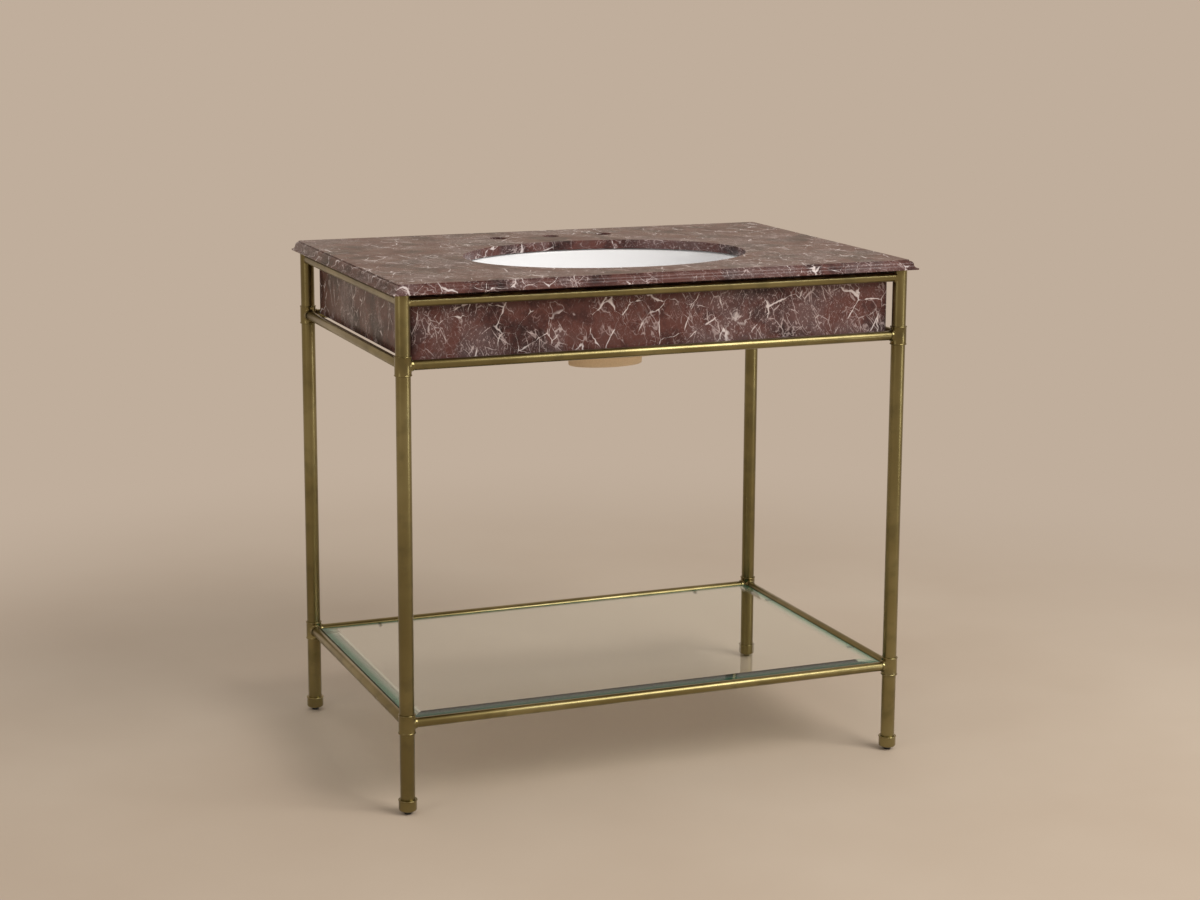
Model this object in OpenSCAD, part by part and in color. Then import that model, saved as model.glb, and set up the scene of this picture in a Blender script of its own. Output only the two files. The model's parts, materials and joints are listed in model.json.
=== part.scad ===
// Washstand: a marble top with an undermount oval basin on a frame of round tube,
// with a bevelled glass shelf near the floor.
// The origin is on the floor under the middle of the top. +Z is up and -Y is the front.
// All sizes are in millimetres.

/* [Marble top] */
// Width of the marble top
top_w = 914; // [860:1:1100]
// Depth of the marble top, front to back
top_d = 620; // [600:1:680]
// Height of the top surface above the floor
top_z = 858; // [800:1:920]
// Thickness of the marble top
top_t = 16; // [15:0.5:25]
// How far the top stands out over the middle of the front legs
overhang_front = 27; // [20:1:40]
// How far the top stands out over the middle of the back legs
overhang_back = 23; // [18:1:40]
// How far the top stands out over the middle of the legs at each side
overhang_side = 22; // [18:1:40]
// Height of the small step at the top of the moulded edge
step_h = 2; // [1:0.5:3]
// Depth of the small step at the top of the moulded edge
step_in = 0.5; // [0.25:0.25:2]
// Radius of the convex roll of the moulded edge
roll_r = 5.5; // [3:0.5:6.5]
// Radius of the hollow below the roll
cove_r = 6; // [3:0.5:7]
// Depth of the ledge at the foot of the hollow
ledge_in = 0.4; // [0.2:0.1:2]
// Radius that eases the upright corners of the top
top_corner_r = 2.5; // [1:0.5:6]

/* [Basin] */
// Length of the oval cut-out in the top
cutout_w = 496; // [420:1:520]
// Depth of the oval cut-out, front to back
cutout_d = 370; // [320:1:380]
// Marble between the front edge of the top and the cut-out
cutout_front = 83; // [78:1:110]
// How far the mouth of the basin stands back under the cut-out
basin_reveal = 2; // [0:0.5:6]
// Width of the basin's flat rim
basin_rim_w = 22; // [16:1:26]
// Thickness of the basin's flat rim
basin_rim_t = 12; // [8:1:16]
// Width of the flat floor round the waste outlet
basin_floor_w = 104; // [96:1:130]
// Depth of the bowl below its rim
bowl_depth = 144; // [110:1:170]
// Wall of the bowl
bowl_wall = 9; // [7:0.5:12]
// Width of the flat oval boss under the bowl
boss_w = 132; // [120:1:140]
// Depth of that boss from front to back
boss_deep = 80; // [76:1:100]
// How far the boss stands below the bowl
boss_h = 20; // [2:0.5:22]
// Diameter of the waste outlet
outlet_d = 45; // [40:0.5:50]
// Diameter of the sunk seat round the waste outlet
outlet_seat_d = 66; // [60:1:75]
// Depth of the sunk seat
outlet_seat_h = 3; // [1:0.5:5]
// Thickness of the bead of sealant between the basin and the marble
seal_t = 1.5; // [1:0.5:3]
// Width of the bead of sealant
seal_w = 10; // [6:1:14]

/* [Tap holes] */
// Diameter of each tap hole
tap_d = 30; // [28:1:36]
// Distance from one tap hole to the next
tap_pitch = 101.6; // [70:0.1:130]
// Distance from the back edge of the top to the tap holes
tap_back = 87; // [70:1:95]

/* [Marble apron] */
// Height of the apron panels
apron_h = 108; // [80:1:140]
// Thickness of the apron panels
apron_t = 16; // [12:0.5:20]
// How far the apron's outer faces lie inside the middle of the legs
apron_in = 13.2; // [12.8:0.1:20]
// Gap from the middle of the back legs to the rear end of each side panel
apron_back = 33; // [20:1:80]
// Radius of the front panel's upright corners
apron_corner_r = 10; // [4:1:11]
// Length of each leaf of the angle brackets that hold the panels to the top
bracket_leaf = 30; // [20:1:40]
// Length of the angle brackets
bracket_l = 40; // [25:1:60]
// Thickness of the angle brackets
bracket_t = 3; // [2:0.5:4]
// Distance from a panel's end to its first bracket
bracket_end = 55; // [45:1:90]

/* [Frame tubes] */
// Outer diameter of the legs
leg_d = 24; // [20:0.5:25]
// Wall of the leg tube
leg_wall = 1.5; // [1:0.1:2.5]
// Outer diameter of the rails
rail_d = 16; // [14:0.5:18]
// Wall of the rail tube
rail_wall = 1.2; // [0.8:0.1:2]
// Gap between the top of the upper rails and the marble
upper_gap = 5.7; // [3:0.1:12]
// Distance from the underside of the marble down to the middle of the apron rails
apron_rail_drop = 113; // [102:1:142]
// Height of the middle of the shelf rails above the floor
shelf_rail_z = 150.5; // [80:0.5:300]

/* [Collars] */
// Length of each collar
collar_h = 32; // [26:1:40]
// Wall of each collar
collar_wall = 1.5; // [1.2:0.1:2.5]
// Radius of the rounded bead at both ends of a collar
bead_r = 1.2; // [0.8:0.1:1.2]
// How far the bead stands out past the collar's wall
bead_out = 0.8; // [0.3:0.1:1.1]
// Wall of the sockets that hold the rail ends
socket_wall = 1.2; // [1:0.1:1.6]
// How far the sockets stand out from the collar
socket_reach = 2.5; // [1.5:0.25:6]

/* [Feet] */
// Diameter of the foot cup
cup_d = 29.5; // [27.5:0.5:34]
// Height of the foot cup
cup_h = 19.5; // [16:0.5:30]
// Thickness of the cup's floor
cup_floor = 4; // [3:0.5:6]
// Radius at the bottom edge of the cup
cup_round = 4; // [1:0.5:5]
// Diameter of the levelling pad
pad_d = 12; // [11:0.5:20]
// Height of the levelling pad
pad_h = 5; // [4:0.5:8]
// Chamfer round the bottom of the pad
pad_chamfer = 0.8; // [0.4:0.1:1.5]
// Diameter of the levelling stud
stud_d = 6; // [5:0.5:8]
// Length of the levelling stud
stud_l = 42; // [36:1:60]
// Length of the threaded insert in the leg
insert_l = 20; // [12:1:30]

/* [Glass shelf] */
// Thickness of the glass
glass_t = 8; // [6:0.5:9]
// Height of the glass's top face above the middle of the shelf rails
glass_rise = 6.5; // [6:0.25:8]
// Width of the bevel round the glass
bevel_w = 25; // [10:1:35]
// Drop of the bevel at the edge of the glass
bevel_drop = 3; // [1:0.25:4]
// Gap between the glass's edge and the sockets of the collars
glass_gap = 0.3; // [0.3:0.1:2]
// Cut across each corner of the glass, clear of the collar
glass_clip = 5; // [3:0.5:15]
// Diameter of the pegs that carry the glass
peg_d = 5; // [4:0.5:6]
// Reach of the pegs from the middle of the rail
peg_reach = 20; // [16:1:30]
// Wall of the clear sleeve on each peg
sleeve_wall = 1; // [0.6:0.1:1.5]
// Distance from the middle of a leg to the nearest peg
peg_end = 120; // [40:5:200]

/* [Fits] */
// Radial clearance of tubes in sockets and of sleeves on tubes
slip_fit = 0.05; // [0.02:0.01:0.1]
// Gap between faces that meet but are not joined
seat_gap = 0.1; // [0.05:0.05:0.3]
// Gap between the levelling pad and the cup when the foot is screwed right in
foot_gap = 0.3; // [0.2:0.1:1]

/* [Hidden] */
$fn = 96;

BRASS = [0.54, 0.48, 0.26];
MARBLE = [0.42, 0.27, 0.26];
CERAMIC = [0.94, 0.94, 0.95];
GLASS = [0.62, 0.76, 0.70, 0.5];
BLACK = [0.08, 0.08, 0.08];
STEEL = [0.62, 0.62, 0.62];
CLEAR = [0.85, 0.87, 0.88];

// Corners of the frame as signs of X and Y
FRONT_LEFT = [-1, -1];
FRONT_RIGHT = [1, -1];
BACK_LEFT = [-1, 1];
BACK_RIGHT = [1, 1];
CORNERS = [FRONT_LEFT, FRONT_RIGHT, BACK_LEFT, BACK_RIGHT];

// Extra length of a cutting shape past the face that it cuts
cut_over = 1;
// Segments in each rounded stretch of a moulded outline
arc_steps = 8;

top_under_z = top_z - top_t;
leg_x = top_w / 2 - overhang_side;
leg_front_y = overhang_front - top_d / 2;
leg_back_y = top_d / 2 - overhang_back;
leg_span_y = leg_back_y - leg_front_y;
frame_mid_y = (leg_front_y + leg_back_y) / 2;

cup_z = pad_h + foot_gap;
leg_foot_z = cup_z + cup_floor;
leg_bore_d = leg_d - 2 * leg_wall;
plug_d = leg_bore_d - 2 * slip_fit;
upper_rail_z = top_under_z - upper_gap - rail_d / 2;
apron_rail_z = top_under_z - apron_rail_drop;

// Points of an arc about a centre, from angle from to angle to
function arc(centre, r, from, to) =
    [for (i = [0:arc_steps]) let(a = from + (to - from) * i / arc_steps)
        centre + r * [cos(a), sin(a)]];

// Moves what follows to the leg at a corner
module at_corner(corner) {
    translate([corner.x * leg_x, corner.y < 0 ? leg_front_y : leg_back_y, 0]) children();
}

// Upright round tube
module tube(d, wall, h) {
    difference() {
        cylinder(d = d, h = h);
        translate([0, 0, -cut_over]) cylinder(d = d - 2 * wall, h = h + 2 * cut_over);
    }
}

// Turns +Z to +X
module along_x() {
    rotate([0, 90, 0]) children();
}

// Turns +Z to +Y
module along_y() {
    rotate([-90, 0, 0]) children();
}

// ---- Legs and feet ----

module leg(corner) {
    color(BRASS) at_corner(corner) translate([0, 0, leg_foot_z])
        tube(leg_d, leg_wall, top_under_z - leg_foot_z);
}

// Section of the foot cup, right of its axis
module cup_section() {
    cup_r = cup_d / 2;
    bead_mid = cup_r + bead_out - bead_r;
    polygon(concat(
        [[stud_d / 2 + foot_gap, 0]],
        arc([cup_r - cup_round, cup_round], cup_round, -90, 0),
        arc([bead_mid, cup_h - bead_r], bead_r, -45, 90),
        [
            [leg_d / 2 + slip_fit, cup_h],
            [leg_d / 2 + slip_fit, cup_floor],
            [stud_d / 2 + foot_gap, cup_floor],
        ]
    ));
}

module foot_cup(corner) {
    color(BRASS) at_corner(corner) translate([0, 0, cup_z])
        rotate_extrude() cup_section();
}

// Threaded plug in the lower end of the leg
module foot_insert(corner) {
    color(BRASS) at_corner(corner) translate([0, 0, leg_foot_z])
        tube(plug_d, plug_d / 2 - stud_d / 2 - slip_fit, insert_l);
}

pad_socket_h = pad_h / 2;

module level_stud(corner) {
    tip = stud_d / 8;
    color(STEEL) at_corner(corner) translate([0, 0, pad_h - pad_socket_h]) {
        cylinder(d = stud_d, h = stud_l - tip);
        translate([0, 0, stud_l - tip]) cylinder(d1 = stud_d, d2 = stud_d - 2 * tip, h = tip);
    }
}

module level_pad(corner) {
    color(BLACK) at_corner(corner) difference() {
        union() {
            cylinder(d1 = pad_d - 2 * pad_chamfer, d2 = pad_d, h = pad_chamfer);
            translate([0, 0, pad_chamfer]) cylinder(d = pad_d, h = pad_h - pad_chamfer);
        }
        translate([0, 0, pad_h - pad_socket_h]) cylinder(d = stud_d + 2 * slip_fit, h = pad_h);
    }
}

// Space round each bumper inside its leg
bumper_gap = 2;
bumper_d = leg_bore_d - 2 * bumper_gap;
bumper_t = 1.5;
plug_h = 12;

module leg_top_plugs() {
    color(BRASS) for (corner = CORNERS) at_corner(corner)
        translate([0, 0, top_under_z - bumper_t - plug_h]) cylinder(d = plug_d, h = plug_h);
}

module leg_top_bumpers() {
    color(CLEAR) for (corner = CORNERS) at_corner(corner)
        translate([0, 0, top_under_z - bumper_t]) cylinder(d = bumper_d, h = bumper_t);
}

// ---- Collars ----

collar_d = leg_d + 2 * (slip_fit + collar_wall);
socket_bore_d = rail_d + 2 * slip_fit;
socket_d = socket_bore_d + 2 * socket_wall;
socket_end = collar_d / 2 + socket_reach;

// Rounded ring about the Z axis
module bead(mid_r, r) {
    rotate_extrude() translate([mid_r, 0]) circle(r = r);
}

// Outside of a socket along +Z with a rounded mouth
module socket_outside() {
    lip_r = socket_wall / 2;
    cylinder(d = socket_d, h = socket_end - lip_r);
    translate([0, 0, socket_end - lip_r]) bead(socket_d / 2 - lip_r, lip_r);
}

// Sleeve on a leg with one socket along X and one along Y for the rail ends
module collar(corner, rail_z) {
    bead_mid = collar_d / 2 + bead_out - bead_r;
    color(BRASS) at_corner(corner) translate([0, 0, rail_z]) difference() {
        union() {
            translate([0, 0, -collar_h / 2]) cylinder(d = collar_d, h = collar_h);
            for (end = [-1, 1]) translate([0, 0, end * (collar_h / 2 - bead_r)])
                bead(bead_mid, bead_r);
            scale([-corner.x, 1, 1]) along_x() socket_outside();
            scale([1, -corner.y, 1]) along_y() socket_outside();
        }
        cylinder(d = leg_d + 2 * slip_fit, h = 2 * collar_h, center = true);
        scale([-corner.x, 1, 1]) along_x() cylinder(d = socket_bore_d, h = 2 * socket_end);
        scale([1, -corner.y, 1]) along_y() cylinder(d = socket_bore_d, h = 2 * socket_end);
    }
}

// ---- Rails ----

// A rail's end stops this far from the middle of the leg
rail_start = leg_d / 2 + slip_fit + seat_gap;

module rail_tube_x(y, z, half_l) {
    translate([-half_l, y, z]) along_x() tube(rail_d, rail_wall, 2 * half_l);
}

module rail_tube_y(x, z, half_l) {
    translate([x, frame_mid_y - half_l, z]) along_y() tube(rail_d, rail_wall, 2 * half_l);
}

// Space of the legs, for the coped ends of the upper rails
module leg_cutters() {
    for (corner = CORNERS) at_corner(corner) cylinder(d = leg_d + 2 * slip_fit, h = top_z);
}

module upper_rail_x(y) {
    color(BRASS) difference() {
        rail_tube_x(y, upper_rail_z, leg_x);
        leg_cutters();
    }
}

module upper_rail_y(x) {
    color(BRASS) difference() {
        rail_tube_y(x, upper_rail_z, leg_span_y / 2);
        leg_cutters();
    }
}

module apron_rail_x(y) {
    color(BRASS) rail_tube_x(y, apron_rail_z, leg_x - rail_start);
}

module apron_rail_y(x) {
    color(BRASS) rail_tube_y(x, apron_rail_z, leg_span_y / 2 - rail_start);
}

module shelf_rail_x(y) {
    color(BRASS) difference() {
        rail_tube_x(y, shelf_rail_z, leg_x - rail_start);
        at_pegs() peg_body(slip_fit);
    }
}

module shelf_rail_y(x) {
    color(BRASS) difference() {
        rail_tube_y(x, shelf_rail_z, leg_span_y / 2 - rail_start);
        at_pegs() peg_body(slip_fit);
    }
}

// ---- Glass shelf and its pegs ----

glass_top_z = shelf_rail_z + glass_rise;
glass_under_z = glass_top_z - glass_t;
sleeve_d = peg_d + 2 * (slip_fit + sleeve_wall);
sleeve_l = peg_reach / 2;
peg_z = glass_under_z - seat_gap - sleeve_d / 2;
// A peg starts inside the rail tube, this far from the tube's middle
peg_start = rail_d / 4;

// Places what follows at each peg, with +X pointing from the rail to the middle of the shelf
module at_pegs() {
    for (side = [-1, 1], end = [-1, 1]) {
        translate([side * (leg_x - peg_end), end < 0 ? leg_front_y : leg_back_y, peg_z])
            rotate([0, 0, -end * 90]) children();
        translate([side * leg_x, frame_mid_y + end * (leg_span_y / 2 - peg_end), peg_z])
            rotate([0, 0, side < 0 ? 0 : 180]) children();
    }
}

// Peg along +X, made larger all round by grow
module peg_body(grow) {
    translate([peg_start, 0, 0]) along_x() cylinder(d = peg_d + 2 * grow, h = peg_reach - peg_start);
}

module shelf_pegs() {
    color(BRASS) at_pegs() peg_body(0);
}

module peg_sleeves() {
    color(CLEAR) at_pegs() translate([peg_reach - sleeve_l, 0, 0])
        along_x() tube(sleeve_d, sleeve_wall, sleeve_l);
}

// Section of the bevelled glass for a full width w
module glass_section(w) {
    polygon([
        [-w / 2, 0], [w / 2, 0],
        [w / 2, glass_t - bevel_drop], [w / 2 - bevel_w, glass_t],
        [-w / 2 + bevel_w, glass_t], [-w / 2, glass_t - bevel_drop],
    ]);
}

module glass_shelf() {
    glass_w = 2 * leg_x - socket_d - 2 * glass_gap;
    glass_d = leg_span_y - socket_d - 2 * glass_gap;
    color(GLASS) translate([0, frame_mid_y, glass_under_z]) difference() {
        intersection() {
            translate([0, glass_d / 2, 0]) rotate([90, 0, 0])
                linear_extrude(height = glass_d) glass_section(glass_w);
            translate([-glass_w / 2, 0, 0]) rotate([90, 0, 90])
                linear_extrude(height = glass_w) glass_section(glass_d);
        }
        for (corner = CORNERS)
            translate([corner.x * glass_w / 2, corner.y * glass_d / 2, glass_t / 2])
                rotate([0, 0, 45])
                    cube([glass_clip * sqrt(2), glass_clip * sqrt(2), 2 * glass_t], center = true);
    }
}

// ---- Marble ----

// Half the moulded outline, from the underside's outer corner up to the top face:
// a square fillet, a hollow, a roll and a small step
edge_in = ledge_in + cove_r + roll_r + step_in;
fillet_h = top_t - step_h - roll_r - cove_r;

function edge_points(reach) = concat(
    [[reach, 0], [reach, fillet_h]],
    arc([reach - ledge_in, fillet_h + cove_r], cove_r, 270, 180),
    arc([reach - edge_in + step_in, top_t - step_h - roll_r], roll_r, 0, 90),
    [[reach - edge_in, top_t - step_h], [reach - edge_in, top_t]]
);

function mirrored(points) =
    [for (i = [len(points) - 1:-1:0]) [-points[i].x, points[i].y]];

cutout_y = cutout_front + cutout_d / 2 - top_d / 2;
tap_y = top_d / 2 - tap_back;

module tap_drills() {
    for (i = [-1:1]) translate([i * tap_pitch, tap_y, -cut_over])
        cylinder(d = tap_d, h = top_t + 2 * cut_over);
}

// Oval upright block, w along X and d along Y, about the middle of the cut-out
module oval(w, d, h) {
    translate([0, cutout_y, 0]) scale([1, d / w, 1]) cylinder(d = w, h = h);
}

module marble_top() {
    color(MARBLE) translate([0, 0, top_under_z]) difference() {
        intersection() {
            translate([0, top_d / 2, 0]) rotate([90, 0, 0]) linear_extrude(height = top_d)
                polygon(concat(edge_points(top_w / 2), mirrored(edge_points(top_w / 2))));
            translate([-top_w / 2, 0, 0]) rotate([90, 0, 90]) linear_extrude(height = top_w)
                polygon(concat([[top_d / 2, 0], [top_d / 2, top_t]], mirrored(edge_points(top_d / 2))));
            eased_plan();
        }
        translate([0, 0, -cut_over]) oval(cutout_w, cutout_d, top_t + 2 * cut_over);
        tap_drills();
        at_clips() translate([clip_stud_out, 0, -cut_over])
            cylinder(d = clip_stud_d + 2 * slip_fit, h = clip_stud_in + cut_over);
    }
}

// Upright block of the top's plan with its corners eased
module eased_plan() {
    linear_extrude(height = top_t) polygon([
        for (quarter = [0:3]) let(
            sx = quarter == 0 || quarter == 3 ? 1 : -1,
            sy = quarter < 2 ? 1 : -1,
            mid = [sx * (top_w / 2 - top_corner_r), sy * (top_d / 2 - top_corner_r)]
        ) each arc(mid, top_corner_r, quarter * 90, quarter * 90 + 90)
    ]);
}

apron_x = leg_x - apron_in;
apron_front_y = leg_front_y + apron_in;
apron_side_y = apron_front_y + apron_t;
apron_side_l = leg_back_y - apron_back - apron_side_y;
apron_z = top_under_z - apron_h;

module apron_front() {
    color(MARBLE) translate([0, apron_front_y, apron_z]) linear_extrude(height = apron_h)
        polygon(concat(
            [[apron_x, apron_t], [-apron_x, apron_t]],
            arc([-apron_x + apron_corner_r, apron_corner_r], apron_corner_r, 180, 270),
            arc([apron_x - apron_corner_r, apron_corner_r], apron_corner_r, 270, 360)
        ));
}

module apron_side(side) {
    color(MARBLE)
        translate([side > 0 ? apron_x - apron_t : -apron_x, apron_side_y, apron_z])
            cube([apron_t, apron_side_l, apron_h]);
}

// Angle bracket in the corner between a panel's back, at +X, and the top's underside
module bracket() {
    translate([0, -bracket_l / 2, -bracket_leaf]) cube([bracket_t, bracket_l, bracket_leaf]);
    translate([0, -bracket_l / 2, -bracket_t]) cube([bracket_leaf, bracket_l, bracket_t]);
}

module apron_brackets() {
    color(STEEL) translate([0, 0, top_under_z]) for (side = [-1, 1]) {
        translate([side * (apron_x - apron_t - bracket_end), apron_side_y, 0])
            rotate([0, 0, 90]) bracket();
        for (y = [apron_side_y + bracket_end, apron_side_y + apron_side_l - bracket_end])
            translate([side * (apron_x - apron_t), y, 0])
                rotate([0, 0, side < 0 ? 0 : 180]) bracket();
    }
}

// ---- Basin ----

mouth_w = cutout_w + 2 * basin_reveal;
mouth_d = cutout_d + 2 * basin_reveal;
rim_w = mouth_w + 2 * basin_rim_w;
rim_d = mouth_d + 2 * basin_rim_w;
boss_z = -bowl_depth - bowl_wall - boss_h;
// Steps down the bowl's section, and the power that makes it fuller than an ellipse
bowl_steps = 20;
bowl_power = 2.5;

// Half the section of a solid bowl below Z = 0, w wide at its mouth
module bowl_section(w, depth) {
    floor_r = basin_floor_w / 2;
    polygon(concat(
        [[0, -depth], [0, cut_over], [w / 2, cut_over]],
        [
            for (i = [0:bowl_steps]) let(a = 90 * i / bowl_steps) [
                floor_r + (w / 2 - floor_r) * pow(cos(a), 2 / bowl_power),
                -depth * pow(sin(a), 2 / bowl_power)
            ]
        ]
    ));
}

// Solid bowl with an oval mouth, w along X and d along Y, made as four quarters
module bowl_solid(w, d, depth) {
    scale([1, d / w, 1]) for (quarter = [0:3])
        rotate([0, 0, quarter * 90]) rotate_extrude(angle = 90) bowl_section(w, depth);
}

module basin() {
    color(CERAMIC) translate([0, 0, top_under_z - seal_t]) difference() {
        union() {
            translate([0, 0, -basin_rim_t]) oval(rim_w, rim_d, basin_rim_t);
            translate([0, cutout_y, 0]) intersection() {
                bowl_solid(mouth_w + 2 * bowl_wall, mouth_d + 2 * bowl_wall, bowl_depth + bowl_wall);
                translate([0, 0, boss_z / 2]) cube([rim_w, rim_d, -boss_z], center = true);
            }
            translate([0, 0, boss_z]) oval(boss_w, boss_deep, boss_h + bowl_wall / 2);
        }
        translate([0, cutout_y, 0]) {
            bowl_solid(mouth_w, mouth_d, bowl_depth);
            translate([0, 0, boss_z - cut_over]) cylinder(d = outlet_d, h = boss_h + 3 * bowl_wall);
            translate([0, 0, -bowl_depth - outlet_seat_h]) cylinder(d = outlet_seat_d, h = bowl_wall);
        }
    }
}

module basin_seal() {
    color(CLEAR) translate([0, 0, top_under_z - seal_t]) difference() {
        oval(mouth_w + 2 * seal_w, mouth_d + 2 * seal_w, seal_t);
        translate([0, 0, -cut_over]) oval(mouth_w, mouth_d, seal_t + 2 * cut_over);
    }
}

// Clips under the basin's rim
clip_angles = [0, 62, 118, 180];
clip_w = 18;
clip_t = 2.5;
clip_lap = 10;
clip_out = 26;
clip_heel = 3;
clip_stud_d = 6;
clip_stud_out = 13;
clip_stud_in = 10;
clip_stud_below = 10;
nut_d = 11.5;
nut_h = 5;
washer_d = 14;
washer_t = 1.5;
clip_under_z = -seal_t - basin_rim_t - clip_t;

// Places what follows at each clip: +X points out from the rim's edge, Z = 0 is the top's underside
module at_clips() {
    for (a = clip_angles)
        translate([rim_w / 2 * cos(a), cutout_y + rim_d / 2 * sin(a), 0])
            rotate([0, 0, atan2(sin(a) / rim_d, cos(a) / rim_w)]) children();
}

module basin_clips() {
    color(STEEL) translate([0, 0, top_under_z]) at_clips() difference() {
        union() {
            translate([-clip_lap, -clip_w / 2, clip_under_z])
                cube([clip_lap + clip_out, clip_w, clip_t]);
            translate([clip_out - clip_heel, -clip_w / 2, clip_under_z])
                cube([clip_heel, clip_w, -clip_under_z]);
        }
        translate([clip_stud_out, 0, clip_under_z - cut_over])
            cylinder(d = clip_stud_d + 2 * slip_fit, h = clip_t + 2 * cut_over);
    }
}

module clip_studs() {
    color(STEEL) translate([0, 0, top_under_z]) at_clips()
        translate([clip_stud_out, 0, clip_under_z - clip_stud_below])
            cylinder(d = clip_stud_d, h = clip_stud_below - clip_under_z + clip_stud_in - seat_gap);
}

module clip_nuts() {
    color(STEEL) translate([0, 0, top_under_z + clip_under_z]) at_clips()
        translate([clip_stud_out, 0, -washer_t - nut_h]) difference() {
            union() {
                cylinder(d = nut_d, h = nut_h, $fn = 6);
                translate([0, 0, nut_h]) cylinder(d = washer_d, h = washer_t);
            }
            translate([0, 0, -cut_over])
                cylinder(d = clip_stud_d + 2 * slip_fit, h = nut_h + washer_t + 2 * cut_over);
        }
}

leg(FRONT_LEFT);  // leg_front_left
leg(FRONT_RIGHT);  // leg_front_right
leg(BACK_LEFT);  // leg_back_left
leg(BACK_RIGHT);  // leg_back_right
collar(FRONT_LEFT, apron_rail_z);  // apron_collar_front_left
collar(FRONT_RIGHT, apron_rail_z);  // apron_collar_front_right
collar(BACK_LEFT, apron_rail_z);  // apron_collar_back_left
collar(BACK_RIGHT, apron_rail_z);  // apron_collar_back_right
collar(FRONT_LEFT, shelf_rail_z);  // shelf_collar_front_left
collar(FRONT_RIGHT, shelf_rail_z);  // shelf_collar_front_right
collar(BACK_LEFT, shelf_rail_z);  // shelf_collar_back_left
collar(BACK_RIGHT, shelf_rail_z);  // shelf_collar_back_right
foot_cup(FRONT_LEFT);  // foot_cup_front_left
foot_cup(FRONT_RIGHT);  // foot_cup_front_right
foot_cup(BACK_LEFT);  // foot_cup_back_left
foot_cup(BACK_RIGHT);  // foot_cup_back_right
foot_insert(FRONT_LEFT);  // foot_insert_front_left
foot_insert(FRONT_RIGHT);  // foot_insert_front_right
foot_insert(BACK_LEFT);  // foot_insert_back_left
foot_insert(BACK_RIGHT);  // foot_insert_back_right
level_stud(FRONT_LEFT);  // level_stud_front_left
level_stud(FRONT_RIGHT);  // level_stud_front_right
level_stud(BACK_LEFT);  // level_stud_back_left
level_stud(BACK_RIGHT);  // level_stud_back_right
level_pad(FRONT_LEFT);  // level_pad_front_left
level_pad(FRONT_RIGHT);  // level_pad_front_right
level_pad(BACK_LEFT);  // level_pad_back_left
level_pad(BACK_RIGHT);  // level_pad_back_right
upper_rail_x(leg_front_y);  // upper_rail_front
upper_rail_x(leg_back_y);  // upper_rail_back
upper_rail_y(-leg_x);  // upper_rail_left
upper_rail_y(leg_x);  // upper_rail_right
apron_rail_x(leg_front_y);  // apron_rail_front
apron_rail_x(leg_back_y);  // apron_rail_back
apron_rail_y(-leg_x);  // apron_rail_left
apron_rail_y(leg_x);  // apron_rail_right
shelf_rail_x(leg_front_y);  // shelf_rail_front
shelf_rail_x(leg_back_y);  // shelf_rail_back
shelf_rail_y(-leg_x);  // shelf_rail_left
shelf_rail_y(leg_x);  // shelf_rail_right
leg_top_plugs();
leg_top_bumpers();
marble_top();
apron_front();
apron_side(-1);  // apron_left
apron_side(1);  // apron_right
apron_brackets();
basin();
basin_seal();
basin_clips();
clip_studs();
clip_nuts();
glass_shelf();
shelf_pegs();
peg_sleeves();
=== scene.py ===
# %% [markdown]
# # A washstand with a marble top
# The washstand is a brass tube frame that carries a slab of dark red marble with an oval basin
# under it, a marble apron behind the upper rails, and a bevelled glass shelf near the floor.
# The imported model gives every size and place. This lesson dresses it: moulded stone, satin
# brass, glazed ceramic and green-edged glass.

# %% Load the frame
import json
import math
import bmesh
import bpy
from mathutils import Matrix, Vector


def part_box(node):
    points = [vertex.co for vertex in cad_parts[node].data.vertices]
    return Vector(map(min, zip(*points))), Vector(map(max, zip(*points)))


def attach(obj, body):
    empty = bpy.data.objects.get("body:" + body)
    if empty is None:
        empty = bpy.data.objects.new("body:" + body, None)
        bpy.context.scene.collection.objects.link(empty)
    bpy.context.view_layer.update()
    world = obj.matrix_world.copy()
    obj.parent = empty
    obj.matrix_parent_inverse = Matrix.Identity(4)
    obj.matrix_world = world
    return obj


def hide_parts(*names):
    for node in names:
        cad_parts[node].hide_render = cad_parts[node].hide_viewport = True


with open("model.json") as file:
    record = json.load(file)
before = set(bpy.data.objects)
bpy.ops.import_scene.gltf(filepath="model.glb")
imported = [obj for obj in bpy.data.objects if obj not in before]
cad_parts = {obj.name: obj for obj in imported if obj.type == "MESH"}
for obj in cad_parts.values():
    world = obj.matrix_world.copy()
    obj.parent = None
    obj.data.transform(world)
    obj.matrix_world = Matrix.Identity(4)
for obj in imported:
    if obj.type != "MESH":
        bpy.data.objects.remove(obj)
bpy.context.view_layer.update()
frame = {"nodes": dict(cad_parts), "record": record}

MM = 0.001
BODY = "washstand"
scene = bpy.context.scene
scene.view_settings.view_transform = "Standard"

# %% [markdown]
# ## Sizes taken from the frame
# Each size is read from the box of a node, so the pieces made here always meet the ones that
# stay. The corners of the frame are named by their signs: -1 is left or front.

# %% Read the driving sizes
CORNERS = {"front_left": (-1, -1), "front_right": (1, -1), "back_left": (-1, 1), "back_right": (1, 1)}


def middle(node):
    low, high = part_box(node)
    return (low + high) / 2


def extent(node):
    low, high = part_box(node)
    return high - low


leg_at = {corner: middle("leg_" + corner) for corner in CORNERS}
leg_r = extent("leg_front_left").x / 2
rail_r = extent("apron_rail_front").z / 2
top_low, top_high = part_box("marble_top")
basin_low, basin_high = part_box("basin")
glass_low, glass_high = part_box("glass_shelf")
basin_at = middle("basin")
print("leg radius", round(leg_r, 4), "rail radius", round(rail_r, 4))
print("top from", [round(v, 4) for v in top_low], "to", [round(v, 4) for v in top_high])

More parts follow.
